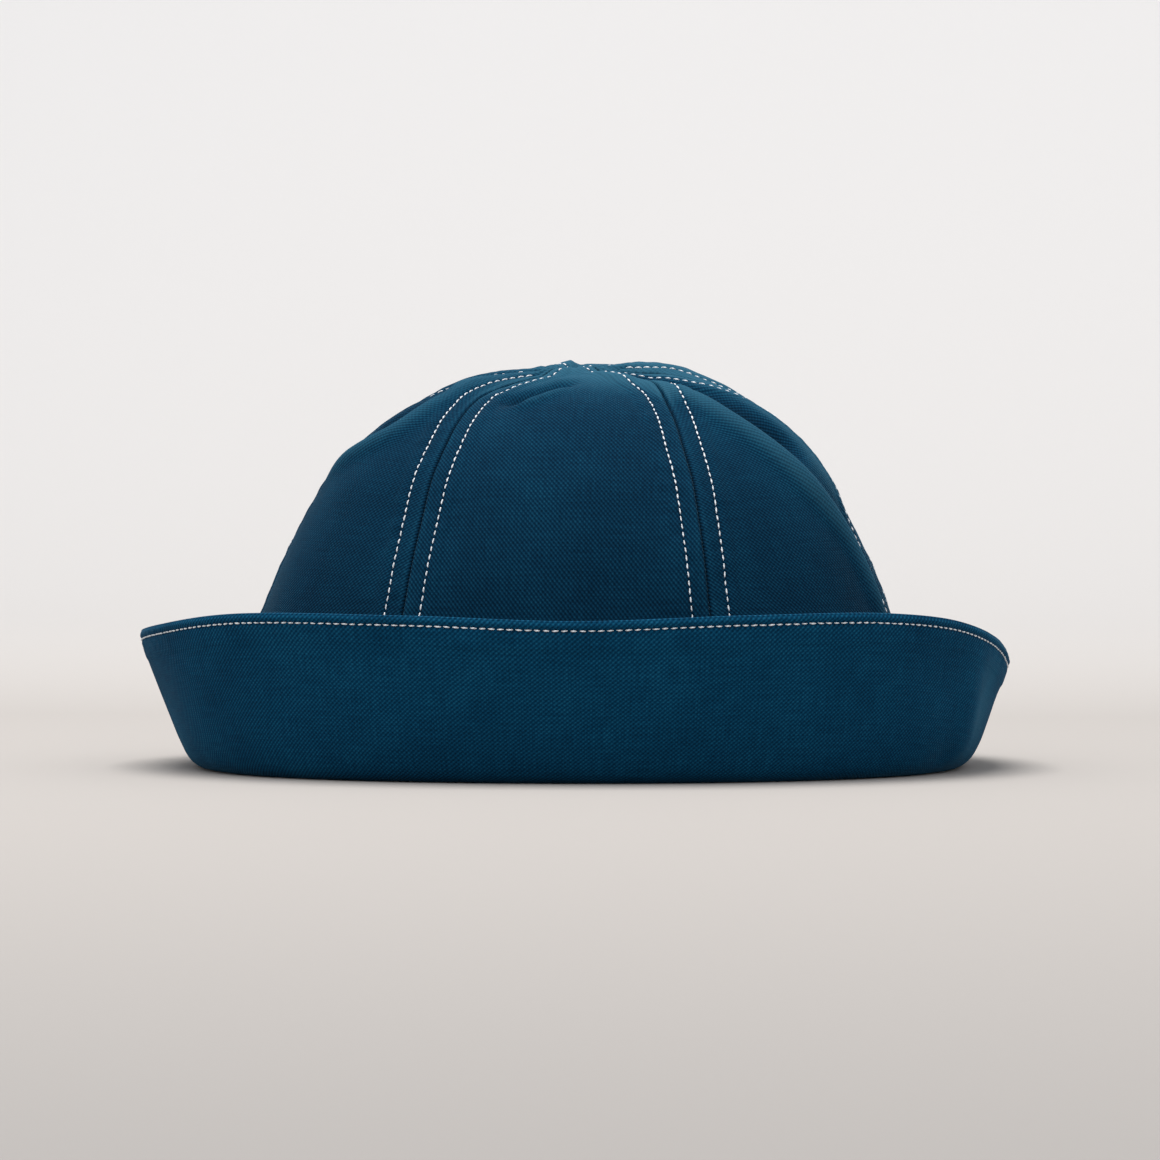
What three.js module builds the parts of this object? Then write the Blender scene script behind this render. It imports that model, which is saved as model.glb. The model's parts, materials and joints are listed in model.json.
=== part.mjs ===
// A sailor cap: six gores of cotton twill sewn into a soft round crown, and a deep brim of two layers
// that is turned up all round. Millimetres, +Z up. The front faces -Y, and the cap stands on its brim's fold.
import * as THREE from "three";

// The cloth. Each wall is the twill with its pressed allowances and light interfacing.
const CROWN_WALL = 1.4;
const BRIM_WALL = 1.2;
const GAP = 0.3;

// The head opening, at the seam where crown and brim meet: an oval, slightly squared at its four corners.
const OPENING_HALF_WIDTH = 89.8;
const OPENING_HALF_DEPTH = 81.8;
const SQUARENESS = 0.03;
const SEAM_HEIGHT = 10;

// The angles round the cap are in degrees from the front, positive towards +X. Front and back gores are narrower.
const FRONT_SEAM = 27;
const SIDE_SEAM = 90;
const BACK_SEAM = 180 - FRONT_SEAM;

// The crown's outer face, one row for each level from its seam to its point. rise is the share of the way
// up the cloth, front and back are the reaches from the axis, and lean lifts the back and lowers the front.
const CROWN_LEVELS = [
  { rise: 0.0, height: 10.3, halfWidth: 91.2, front: 83.2, back: 83.2, lean: 0.0 },
  { rise: 0.11, height: 26.4, halfWidth: 87.2, front: 79.6, back: 80.0, lean: 0.0 },
  { rise: 0.23, height: 43.4, halfWidth: 81.0, front: 74.0, back: 75.4, lean: 0.2 },
  { rise: 0.32, height: 55.4, halfWidth: 75.8, front: 69.0, back: 71.4, lean: 0.5 },
  { rise: 0.4, height: 65.6, halfWidth: 70.4, front: 63.8, back: 67.0, lean: 0.9 },
  { rise: 0.485, height: 75.9, halfWidth: 64.0, front: 57.4, back: 61.2, lean: 1.3 },
  { rise: 0.555, height: 83.2, halfWidth: 57.4, front: 51.0, back: 55.6, lean: 1.7 },
  { rise: 0.64, height: 90.2, halfWidth: 48.4, front: 42.6, back: 47.2, lean: 2.0 },
  { rise: 0.705, height: 94.7, halfWidth: 40.6, front: 35.2, back: 39.8, lean: 2.2 },
  { rise: 0.785, height: 98.5, halfWidth: 30.4, front: 26.0, back: 29.8, lean: 2.2 },
  { rise: 0.865, height: 101.1, halfWidth: 19.6, front: 16.8, back: 19.0, lean: 1.9 },
  { rise: 0.935, height: 102.6, halfWidth: 9.2, front: 8.6, back: 9.4, lean: 1.1 },
  { rise: 1.0, height: 103.2, halfWidth: 0.0, front: 0.0, back: 0.0, lean: 0.0 },
];

// How many degrees further out the seams of the front and back gores lie as they rise: both gores keep broad
// shoulders, and close in on the crown's point only at the top.
const SEAM_SPREAD = [
  { rise: 0.0, spread: 0.4 },
  { rise: 0.285, spread: 1.6 },
  { rise: 0.485, spread: 4.2 },
  { rise: 0.61, spread: 7.4 },
  { rise: 0.71, spread: 13.2 },
  { rise: 0.8, spread: 21.5 },
  { rise: 0.9, spread: 28.0 },
  { rise: 1.0, spread: 31.0 },
];

// How far the middle of a gore puffs out past its seams, by the share of the way up the cloth.
const GORE_PUFF = [
  { rise: 0.0, puff: 0.0 },
  { rise: 0.2, puff: 0.5 },
  { rise: 0.45, puff: 1.3 },
  { rise: 0.7, puff: 2.4 },
  { rise: 0.88, puff: 2.0 },
  { rise: 1.0, puff: 0.0 },
];

// Soft folds of the crown, each a straight run over the cloth. height is how far it stands out, or sinks.
const CROWN_FOLDS = [
  { name: "left crest", fromAngle: -86, fromRise: 0.48, toAngle: -60, toRise: 0.78, width: 6, height: 1.8 },
  { name: "right crest", fromAngle: 76, fromRise: 0.16, toAngle: 50, toRise: 0.86, width: 6, height: 1.6 },
  { name: "left side hollow", fromAngle: -86, fromRise: 0.62, toAngle: -78, toRise: 0.84, width: 6, height: -2.2 },
  { name: "right side hollow", fromAngle: 70, fromRise: 0.54, toAngle: 68, toRise: 0.84, width: 6, height: -2.4 },
  { name: "right shoulder", fromAngle: 80, fromRise: 0.5, toAngle: 100, toRise: 0.8, width: 18, height: 2.6 },
  { name: "dent by the point", fromAngle: -34, fromRise: 0.8, toAngle: -8, toRise: 0.9, width: 5, height: -2.4 },
  { name: "ridge by the dent", fromAngle: -22, fromRise: 0.71, toAngle: 0, toRise: 0.9, width: 3.6, height: 1.3 },
  { name: "back dimple", fromAngle: 160, fromRise: 0.6, toAngle: -165, toRise: 0.72, width: 12, height: -1.6 },
];

// The brim's outer face in section, from the crown seam down round the fold and up to the edge. edge and fold
// are the shares in which a point follows the edge and the fold where those move with the angle.
const BRIM_SECTION = [
  { out: 0.0, up: SEAM_HEIGHT, edge: 0.0, fold: 0.0 },
  { out: 0.4, up: 5.4, edge: 0.0, fold: 0.0 },
  { out: 2.0, up: 1.5, edge: 0.0, fold: 0.2 },
  { out: 4.6, up: 0.0, edge: 0.0, fold: 0.5 },
  { out: 8.2, up: 0.0, edge: 0.0, fold: 0.9 },
  { out: 11.6, up: 2.2, edge: 0.0, fold: 1.0 },
  { out: 14.2, up: 7.0, edge: 0.1, fold: 0.95 },
  { out: 16.9, up: 14.0, edge: 0.3, fold: 0.6 },
  { out: 20.2, up: 23.0, edge: 0.6, fold: 0.1 },
  { out: 22.6, up: 30.0, edge: 0.85, fold: 0.0 },
  { out: 24.2, up: 36.0, edge: 1.0, fold: 0.0 },
];

// The brim round the cap: how high its edge stands and how far out it reaches, and how far its fold bulges.
const BRIM_ROUND = [
  { angle: -180, rise: 32.6, reach: 22.4, fold: 0.0 },
  { angle: -135, rise: 32.0, reach: 23.2, fold: 0.0 },
  { angle: -106, rise: 32.4, reach: 24.4, fold: 0.0 },
  { angle: -90, rise: 34.4, reach: 24.8, fold: 0.0 },
  { angle: -66, rise: 38.0, reach: 24.2, fold: 0.2 },
  { angle: -46, rise: 41.8, reach: 23.2, fold: 0.4 },
  { angle: -20, rise: 42.2, reach: 22.4, fold: 0.0 },
  { angle: 4, rise: 41.0, reach: 22.0, fold: 0.0 },
  { angle: 28, rise: 42.3, reach: 22.4, fold: 0.4 },
  { angle: 48, rise: 42.2, reach: 23.2, fold: 1.4 },
  { angle: 60, rise: 40.2, reach: 23.8, fold: 2.2 },
  { angle: 76, rise: 34.6, reach: 24.3, fold: 2.6 },
  { angle: 90, rise: 28.8, reach: 24.4, fold: 2.4 },
  { angle: 106, rise: 27.6, reach: 24.0, fold: 1.4 },
  { angle: 135, rise: 30.4, reach: 23.2, fold: 0.4 },
  { angle: 180, rise: 32.6, reach: 22.4, fold: 0.0 },
];

// How finely the solids are faceted.
const GORE_COLUMNS = 10;
const GORE_ROWS = 13;
const BRIM_COLUMNS = 64;
const BRIM_ROWS = 10;

const radians = THREE.MathUtils.degToRad;
const UP = new THREE.Vector3(0, 0, 1);

// A smooth curve through a table's rows: give it a value of the key column, and it returns the others by name.
function smoothTable(rows, key, ending) {
  const columns = Object.keys(rows[0]).filter((name) => name !== key);
  const values = rows.flatMap((row) => columns.map((name) => row[name]));
  const curve = new THREE.CubicInterpolant(rows.map((row) => row[key]), values, columns.length);
  curve.settings = { endingStart: ending, endingEnd: ending };
  return (at) => {
    const found = Array.from(curve.evaluate(at));
    return Object.fromEntries(columns.map((name, i) => [name, found[i]]));
  };
}

const crownLevel = smoothTable(CROWN_LEVELS, "rise", THREE.ZeroCurvatureEnding);
const seamSpread = smoothTable(SEAM_SPREAD, "rise", THREE.ZeroCurvatureEnding);
const gorePuff = smoothTable(GORE_PUFF, "rise", THREE.ZeroSlopeEnding);
const brimRound = smoothTable(BRIM_ROUND, "angle", THREE.WrapAroundEnding);

// A point of the cap's oval plan, from its reach to the side and its reach to the front or back.
function ovalPoint(angle, halfWidth, halfDepth) {
  const turn = radians(angle);
  const corner = 1 + SQUARENESS * Math.sin(2 * turn) ** 2;
  return new THREE.Vector3(halfWidth * Math.sin(turn), -halfDepth * Math.cos(turn), 0).multiplyScalar(corner);
}

// A point of the crown's plain outer face, before the gores puff and the folds are laid in.
function plainCrown(angle, rise) {
  const level = crownLevel(rise);
  const point = ovalPoint(angle, level.halfWidth, Math.cos(radians(angle)) > 0 ? level.front : level.back);
  point.z = level.height - level.lean * Math.cos(radians(angle));
  return point;
}

// The crown's outward direction there, worked out from two short steps over the plain face.
function crownNormal(angle, rise) {
  const step = 0.004;
  const low = Math.min(rise, 1 - 2 * step);
  const up = plainCrown(angle, low + step).sub(plainCrown(angle, low));
  const across = plainCrown(angle + 1, low).sub(plainCrown(angle - 1, low));
  return across.cross(up).normalize();
}

const folds = CROWN_FOLDS.map((fold) => ({
  ...fold,
  run: new THREE.Line3(plainCrown(fold.fromAngle, fold.fromRise), plainCrown(fold.toAngle, fold.toRise)),
}));

// How far the folds lift the cloth at a point: each is round in section and fades out past its ends.
function foldHeight(point) {
  const nearest = new THREE.Vector3();
  return folds.reduce((sum, fold) => {
    fold.run.closestPointToPoint(point, true, nearest);
    return sum + fold.height * Math.exp(-((nearest.distanceTo(point) / fold.width) ** 2));
  }, 0);
}

// A point of the crown's true outer face. across runs from 0 at the gore's left seam to 1 at its right seam.
function crownFace(angle, rise, across) {
  const plain = plainCrown(angle, rise);
  const swell = gorePuff(rise).puff * Math.sin(Math.PI * across) ** 0.8;
  return plain.addScaledVector(crownNormal(angle, rise), swell + foldHeight(plain));
}

// Joins two matching grids of points, the cloth's outer and inner faces, into one closed solid.
function clothSolid(outer, inner, closesRound) {
  const corners = [];
  const face = (a, b, c) => {
    if (!a.equals(b) && !b.equals(c) && !c.equals(a)) corners.push(a, b, c);
  };
  const quad = (a, b, c, d) => {
    face(a, b, c);
    face(a, c, d);
  };
  const last = outer.length - 1;
  const columns = outer[0].length;
  const spans = closesRound ? columns : columns - 1;
  for (let j = 0; j < spans; j++) {
    const k = (j + 1) % columns;
    for (let i = 0; i < last; i++) {
      quad(outer[i][j], outer[i][k], outer[i + 1][k], outer[i + 1][j]);
      quad(inner[i][k], inner[i][j], inner[i + 1][j], inner[i + 1][k]);
    }
    quad(outer[0][k], outer[0][j], inner[0][j], inner[0][k]);
    quad(outer[last][j], outer[last][k], inner[last][k], inner[last][j]);
  }
  for (let i = 0; i < last && !closesRound; i++) {
    const end = columns - 1;
    quad(outer[i][0], outer[i + 1][0], inner[i + 1][0], inner[i][0]);
    quad(outer[i + 1][end], outer[i][end], inner[i][end], inner[i + 1][end]);
  }
  return new THREE.BufferGeometry().setFromPoints(corners);
}

const cloth = (colour) => new THREE.MeshStandardMaterial({ color: colour, roughness: 0.92, metalness: 0 });

const cap = new THREE.Group();
cap.name = "sailor_cap";

function addPiece(name, geometry, colour) {
  geometry.computeVertexNormals();
  const piece = new THREE.Mesh(geometry, cloth(colour));
  piece.name = name;
  cap.add(piece);
}

// A seam's angle at a level. It moves away from the middle of the front or back gore that it belongs to.
function seamAngle(seam, rise) {
  const middle = 180 * Math.round(seam / 180);
  const spread = Math.abs(seam) === SIDE_SEAM ? 0 : seamSpread(rise).spread;
  return seam + Math.sign(seam - middle) * spread;
}

// One gore: a curved triangle of cloth between two seams, which ends in a sharp tip at the crown's point.
function crownGore(leftSeam, rightSeam) {
  const halfSpan = (seamAngle(rightSeam, 1) - seamAngle(leftSeam, 1)) / 2;
  const tipRadius = GAP / 2 / Math.sin(radians(halfSpan));
  const topLevel = CROWN_LEVELS.at(-2);
  const tipRise = 1 - ((1 - topLevel.rise) * tipRadius) / topLevel.front;
  const outer = [];
  const inner = [];
  for (let i = 0; i <= GORE_ROWS; i++) {
    const rise = (tipRise * i) / GORE_ROWS;
    const narrow = Math.min(crownLevel(rise).front, crownLevel(rise).halfWidth);
    const inset = THREE.MathUtils.radToDeg(Math.asin(Math.min(GAP / 2 / narrow, Math.sin(radians(halfSpan)))));
    const left = seamAngle(leftSeam, rise) + inset;
    const right = seamAngle(rightSeam, rise) - inset;
    const row = [];
    for (let j = 0; j <= GORE_COLUMNS; j++) {
      const across = i === GORE_ROWS ? 0.5 : j / GORE_COLUMNS;
      const angle = THREE.MathUtils.lerp(left, right, across);
      const point = crownFace(angle, rise, across);
      row.push({ point, under: point.clone().addScaledVector(crownNormal(angle, rise), -CROWN_WALL) });
    }
    outer.push(row.map((spot) => spot.point));
    inner.push(row.map((spot) => spot.under));
  }
  inner[0].forEach((point) => (point.z = SEAM_HEIGHT + GAP));
  return clothSolid(outer, inner, false);
}

const GORES = [
  { name: "crown_front", left: -FRONT_SEAM, right: FRONT_SEAM },
  { name: "crown_front_right", left: FRONT_SEAM, right: SIDE_SEAM },
  { name: "crown_back_right", left: SIDE_SEAM, right: BACK_SEAM },
  { name: "crown_back", left: BACK_SEAM, right: 360 - BACK_SEAM },
  { name: "crown_back_left", left: -BACK_SEAM, right: -SIDE_SEAM },
  { name: "crown_front_left", left: -SIDE_SEAM, right: -FRONT_SEAM },
];
GORES.forEach((gore) => addPiece(gore.name, crownGore(gore.left, gore.right), 0x0d3550));

// The brim's section at one angle.
function brimSection(angle) {
  const here = brimRound(angle);
  const usual = BRIM_SECTION.at(-1);
  const shape = BRIM_SECTION.map(({ out, up, edge, fold }) => {
    const farther = edge * (here.reach - usual.out) + fold * here.fold;
    return new THREE.Vector2(out + farther, up + edge * (here.rise - usual.up));
  });
  return new THREE.SplineCurve(shape);
}

// One layer of the brim, between two depths measured inwards from the brim's outer face.
function brimLayer(nearDepth, farDepth) {
  const layers = [nearDepth, farDepth].map(() => Array.from({ length: BRIM_ROWS + 1 }, () => []));
  for (let j = 0; j < BRIM_COLUMNS; j++) {
    const angle = (360 * j) / BRIM_COLUMNS - 180;
    const section = brimSection(angle);
    const foot = ovalPoint(angle, OPENING_HALF_WIDTH, OPENING_HALF_DEPTH);
    const along = ovalPoint(angle + 1, OPENING_HALF_WIDTH, OPENING_HALF_DEPTH).sub(foot);
    const outward = along.cross(UP).normalize();
    for (let i = 0; i <= BRIM_ROWS; i++) {
      const spot = section.getPoint(i / BRIM_ROWS);
      const way = i === 0 ? new THREE.Vector2(0, -1) : section.getTangent(i / BRIM_ROWS);
      [nearDepth, farDepth].forEach((depth, side) => {
        const point = foot.clone().addScaledVector(outward, spot.x - way.y * depth);
        point.z = spot.y + way.x * depth;
        layers[side][i].push(point);
      });
    }
  }
  return clothSolid(layers[0], layers[1], true);
}

addPiece("brim_outer", brimLayer(0, BRIM_WALL), 0x0b304a);
addPiece("brim_facing", brimLayer(BRIM_WALL + GAP, 2 * BRIM_WALL + GAP), 0x0d3550);

// The origin is under the middle of the cap, on the surface that it stands on.
const size = new THREE.Box3().setFromObject(cap);
const middle = size.getCenter(new THREE.Vector3());
cap.position.set(-middle.x, -middle.y, -size.min.z);

export default cap;
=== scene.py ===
"""A sailor cap of navy cotton twill: six gores sewn into a round crown, and a deep brim turned up all round.

The shapes are worked out in millimetres, with the cap's front towards -Y, and become metres in each mesh.
Left and right are as seen from in front of the cap, so the right side is towards +X.
"""

import json
import math
from types import SimpleNamespace

import bpy
import numpy as np
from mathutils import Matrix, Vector

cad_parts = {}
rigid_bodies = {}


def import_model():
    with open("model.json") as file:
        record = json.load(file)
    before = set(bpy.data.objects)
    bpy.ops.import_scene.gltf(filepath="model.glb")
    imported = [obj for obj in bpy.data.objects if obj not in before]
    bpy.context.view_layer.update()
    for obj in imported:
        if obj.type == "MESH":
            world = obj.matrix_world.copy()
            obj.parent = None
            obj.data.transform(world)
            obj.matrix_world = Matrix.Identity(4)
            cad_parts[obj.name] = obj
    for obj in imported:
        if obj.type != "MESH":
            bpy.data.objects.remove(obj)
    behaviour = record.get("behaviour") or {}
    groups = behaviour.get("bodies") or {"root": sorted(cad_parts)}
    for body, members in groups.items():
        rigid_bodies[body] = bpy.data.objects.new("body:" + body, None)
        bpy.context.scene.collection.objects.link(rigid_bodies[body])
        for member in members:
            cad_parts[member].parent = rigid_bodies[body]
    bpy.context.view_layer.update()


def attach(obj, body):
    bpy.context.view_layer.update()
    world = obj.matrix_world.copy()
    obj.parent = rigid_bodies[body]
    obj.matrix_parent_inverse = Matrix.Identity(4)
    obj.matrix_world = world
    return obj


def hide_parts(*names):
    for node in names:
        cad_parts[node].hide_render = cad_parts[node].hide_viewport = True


for left_over in list(bpy.data.objects):
    bpy.data.objects.remove(left_over)
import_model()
MM = 0.001


# ---- Camera -----------------------------------------------------------------------------------------------
# A long lens two metres off looks at the middle of the cap. It stands a few degrees round towards the right
# side and just above level, so the floor is seen almost edge on.
CAMERA_AZIMUTH = math.radians(4.2)
CAMERA_ELEVATION = math.radians(1.5)
CAMERA_DISTANCE = 2.0
FIELD_WIDTH = 0.3053
AIM = Vector((0.0013, 0.0, 0.0488))

toward_camera = Vector((
    math.sin(CAMERA_AZIMUTH) * math.cos(CAMERA_ELEVATION),
    -math.cos(CAMERA_AZIMUTH) * math.cos(CAMERA_ELEVATION),
    math.sin(CAMERA_ELEVATION),
))
camera = bpy.data.objects.new("camera", bpy.data.cameras.new("camera"))
camera.location = AIM + CAMERA_DISTANCE * toward_camera
camera.rotation_euler = toward_camera.to_track_quat("Z", "Y").to_euler()
camera.data.sensor_width = 36
camera.data.lens = camera.data.sensor_width * CAMERA_DISTANCE / FIELD_WIDTH
camera.data.clip_end = 50
bpy.context.scene.collection.objects.link(camera)
bpy.context.scene.camera = camera
bpy.context.scene.view_settings.view_transform = "Standard"


# ---- Floor and light --------------------------------------------------------------------------------------
# A pale matt sheet of paper lies under the cap and sweeps up far behind it. A wide soft light hangs over the
# cap, a little to the left, and the pale room fills the shadows.
SWEEP_HALF_WIDTH = 4.0
SWEEP_FRONT = -3.5
SWEEP_BACK = 1.2
SWEEP_RADIUS = 1.6
SWEEP_TOP = 4.5
FLOOR = -0.0001
NEAR_AND_FAR_PAINTED_SHADES = ((0.40, 0.97), (0.375, 0.945), (0.355, 0.925))

bend = [math.radians(a) for a in range(0, 91, 3)]
sweep_line = [(SWEEP_FRONT, 0.0), (0.3, 0.0), (0.75, 0.0)]
sweep_line += [(SWEEP_BACK + SWEEP_RADIUS * math.sin(a), SWEEP_RADIUS * (1 - math.cos(a))) for a in bend]
sweep_line += [(SWEEP_BACK + SWEEP_RADIUS, SWEEP_TOP)]
sweep_mesh = bpy.data.meshes.new("paper_sweep")
sweep_mesh.from_pydata(
    [(x, y, z + FLOOR) for y, z in sweep_line for x in (-SWEEP_HALF_WIDTH, SWEEP_HALF_WIDTH)],
    [],
    [(2 * i, 2 * i + 1, 2 * i + 3, 2 * i + 2) for i in range(len(sweep_line) - 1)],
)
sweep_mesh.shade_smooth()
# Painted shade: the paper is painted darker on the floor than on the wall behind, and grows paler towards the
# wall.
tones = sweep_mesh.color_attributes.new("tone", "FLOAT_COLOR", "POINT")
for i, (y, z) in enumerate(sweep_line):
    wall = min(max((y - 0.3) / 2.2, 0), 1)
    painted_shading = [floor + wall * (far - floor) for floor, far in NEAR_AND_FAR_PAINTED_SHADES]
    tones.data[2 * i].color = tones.data[2 * i + 1].color = (*painted_shading, 1)
paper_sweep = bpy.data.objects.new("paper_sweep", sweep_mesh)
bpy.context.scene.collection.objects.link(paper_sweep)

paper = bpy.data.materials.new("matt_paper")
paper.use_nodes = True
paper_finish = paper.node_tree.nodes["Principled BSDF"]
tone = paper.node_tree.nodes.new("ShaderNodeVertexColor")
tone.layer_name = "tone"
paper.node_tree.links.new(tone.outputs["Color"], paper_finish.inputs["Base Color"])
paper_finish.inputs["Roughness"].default_value = 0.95
paper_finish.inputs["Specular IOR Level"].default_value = 0.1
sweep_mesh.materials.append(paper)


def soft_light(name, place, width, depth, watts, colour):
    lamp = bpy.data.lights.new(name, "AREA")
    lamp.shape = "RECTANGLE"
    lamp.size, lamp.size_y, lamp.energy, lamp.color = width, depth, watts, colour
    holder = bpy.data.objects.new(name, lamp)
    holder.location = place
    holder.rotation_euler = (Vector(place) - AIM).to_track_quat("Z", "Y").to_euler()
    bpy.context.scene.collection.objects.link(holder)


soft_light("overhead_light", (-0.15, 0.0, 1.6), 1.3, 1.0, 34, (1.0, 0.985, 0.97))
room = bpy.data.worlds.new("pale_room")
room.use_nodes = True
room.node_tree.nodes["Background"].inputs["Color"].default_value = (0.93, 0.96, 1.0, 1)
room.node_tree.nodes["Background"].inputs["Strength"].default_value = 0.78
bpy.context.scene.world = room


# ---- The crown's shape ------------------------------------------------------------------------------------
# Six gores of a single layer of twill, cut as curved triangles and sewn along their sides. Their shape is one
# round surface, given by its levels, on which the gores puff between their seams and the folds are laid.
def smooth_curve(keys, columns):
    """A smooth curve that passes through each row of the columns at its key."""
    slopes = np.gradient(columns, keys, axis=0)

    def look_up(at):
        at = np.clip(np.asarray(at, float), keys[0], keys[-1])
        low = np.clip(np.searchsorted(keys, at, side="right") - 1, 0, len(keys) - 2)
        span = (keys[low + 1] - keys[low])[..., None]
        t = (at - keys[low])[..., None] / span
        start = columns[low] * (1 + 2 * t) * (1 - t) ** 2 + slopes[low] * span * t * (1 - t) ** 2
        end = columns[low + 1] * t * t * (3 - 2 * t) - slopes[low + 1] * span * t * t * (1 - t)
        return start + end

    return look_up


def smooth_table(names, *rows):
    """A smooth curve through a table's rows. The first column is the key, the others are read by name."""
    names = names.split()
    values = np.array(rows, float)
    curve = smooth_curve(values[:, 0], values[:, 1:])
    return lambda at: SimpleNamespace(**dict(zip(names[1:], np.moveaxis(curve(at), -1, 0))))


SQUARENESS = 0.03
crown_level = smooth_table(
    "rise height half_width front back lean",
    (0.000, 10.3, 91.2, 83.2, 83.2, 0.0),
    (0.110, 26.4, 87.2, 79.6, 80.0, 0.0),
    (0.230, 43.4, 81.0, 74.0, 75.4, 0.2),
    (0.320, 55.4, 75.8, 69.0, 71.4, 0.5),
    (0.400, 65.6, 70.4, 63.8, 67.0, 0.9),
    (0.485, 75.9, 64.0, 57.4, 61.2, 1.3),
    (0.555, 83.2, 57.4, 51.0, 55.6, 1.7),
    (0.640, 90.2, 48.4, 42.6, 47.2, 2.0),
    (0.705, 94.7, 40.6, 35.2, 39.8, 2.2),
    (0.785, 98.5, 30.4, 26.0, 29.8, 2.2),
    (0.865, 101.1, 19.6, 16.8, 19.0, 1.9),
    (0.935, 102.6, 9.2, 8.6, 9.4, 1.1),
    (1.000, 103.2, 0.0, 0.0, 0.0, 0.0),
)
# How many degrees further out the seams of the front and back gores lie as they rise.
seam_spread = smooth_table(
    "rise spread",
    (0.000, 0.4),
    (0.285, 1.6),
    (0.485, 4.2),
    (0.610, 7.4),
    (0.710, 13.2),
    (0.800, 21.5),
    (0.900, 28.0),
    (1.000, 31.0),
)
gore_puff = smooth_table(
    "rise puff", (0.0, 0.0), (0.2, 0.5), (0.45, 1.3), (0.7, 2.4), (0.88, 2.0), (1.0, 0.0)
)


def unit(vectors):
    return vectors / np.maximum(np.linalg.norm(vectors, axis=-1, keepdims=True), 1e-9)


def oval(angle, half_width, half_depth):
    """A point of the cap's plan, slightly squared at four corners. Angles are in degrees from the front."""
    turn = np.radians(angle)
    corner = 1 + SQUARENESS * np.sin(2 * turn) ** 2
    return half_width * np.sin(turn) * corner, -half_depth * np.cos(turn) * corner


def plain_crown(angle, rise):
    level = crown_level(rise)
    # Front and back have their own depths, which meet at the sides.
    depth = np.where(np.cos(np.radians(angle)) > 0, level.front, level.back)
    x, y = oval(angle, level.half_width, depth)
    return np.stack([x, y, level.height - level.lean * np.cos(np.radians(angle))], -1)


def crown_normal(angle, rise):
    step = 0.004
    low = np.minimum(rise, 1 - 2 * step)
    up = plain_crown(angle, low + step) - plain_crown(angle, low)
    across = plain_crown(angle + 1, low) - plain_crown(angle - 1, low)
    return unit(np.cross(across, up))


def fold_path(*stops):
    """A smooth line over the plain crown through a few stops, each an angle and a rise."""
    stops = np.array(stops, float)
    along = np.linspace(0, 1, len(stops))
    route = smooth_table("along angle rise", *np.column_stack([along, stops]))(np.linspace(0, 1, 40))
    return plain_crown(route.angle, route.rise)


def fold(path, crest, crest_width, hollow=0.0, hollow_width=8.0, offset=8.0, fade=0.16):
    return SimpleNamespace(path=path, crest=crest, crest_width=crest_width, hollow=hollow,
                           hollow_width=hollow_width, offset=offset, fade=fade)


# Each fold has a crest along its path, and a hollow beside it, on the left as one follows the path.
CROWN_FOLDS = [
    # The long crease down the front right gore, which starts beside the point, and the hollow behind it.
    fold(fold_path((14, 0.95), (44, 0.88), (53, 0.78), (55, 0.65), (63, 0.5), (72, 0.36), (75, 0.24),
                   (78, 0.1)), 2.6, 4.2, 1.4, 6.0, 8.0),
    fold(fold_path((62, 0.93), (70, 0.82), (70, 0.72), (69, 0.62), (75, 0.5)), -4.0, 5.2),
    # The crease down the front left gore, which runs out over the side, and the hollow above it.
    fold(fold_path((-84, 0.47), (-70, 0.52), (-56, 0.60), (-56, 0.69), (-66, 0.77), (-82, 0.87)),
         2.2, 4.0, 0.6, 6.0, 8.0, fade=0.25),
    fold(fold_path((-80, 0.55), (-68, 0.61), (-65, 0.70), (-72, 0.80)), -3.0, 3.8, fade=0.3),
    # The dent beside the crown's point, and the sharp little ridge along its lower side.
    fold(fold_path((-20, 0.69), (-13, 0.73), (-6, 0.79), (0, 0.88)), 1.4, 2.1, fade=0.3),
    fold(fold_path((-32, 0.73), (-19, 0.77), (-8, 0.83), (0, 0.9)), -2.8, 3.3, fade=0.3),
    # The small bulk of the turned-in tips behind the point.
    fold(fold_path((-100, 0.93), (-150, 0.95), (170, 0.97)), 1.5, 2.6),
    # The round shoulder of the right side.
    fold(fold_path((80, 0.5), (90, 0.66), (100, 0.8)), 2.6, 18.0),
    # A soft dimple behind the point.
    fold(fold_path((160, 0.6), (176, 0.66), (196, 0.72)), -1.6, 12.0),
]


def fold_height(points, normals):
    """How far the folds lift the cloth, or sink it, at each point."""
    total = np.zeros(points.shape[:-1])
    for one in CROWN_FOLDS:
        starts, steps = one.path[:-1], np.diff(one.path, axis=0)
        lengths = np.linalg.norm(steps, axis=-1)
        nearest = np.full(points.shape[:-1], np.inf)
        side = np.zeros(points.shape[:-1])
        progress = np.zeros(points.shape[:-1])
        for i, (start, step, length) in enumerate(zip(starts, steps, lengths)):
            away = points - start
            t = np.clip(away @ step / length**2, 0, 1)
            gap = away - t[..., None] * step
            distance = np.linalg.norm(gap, axis=-1)
            closer = distance < nearest
            left = np.cross(normals, step / length)
            side = np.where(closer, np.sign((gap * left).sum(-1)), side)
            progress = np.where(closer, (i + t) / len(starts), progress)
            nearest = np.minimum(nearest, distance)
        ends = np.clip(progress / one.fade, 0, 1) * np.clip((1 - progress) / one.fade, 0, 1)
        ends = ends**2 * (3 - 2 * ends)
        across = nearest * side
        shape = one.crest * np.exp(-(across / one.crest_width) ** 2)
        shape = shape - one.hollow * np.exp(-((across - one.offset) / one.hollow_width) ** 2)
        total += shape * (ends if one.crest_width < 10 else 1.0)
    return total


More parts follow.
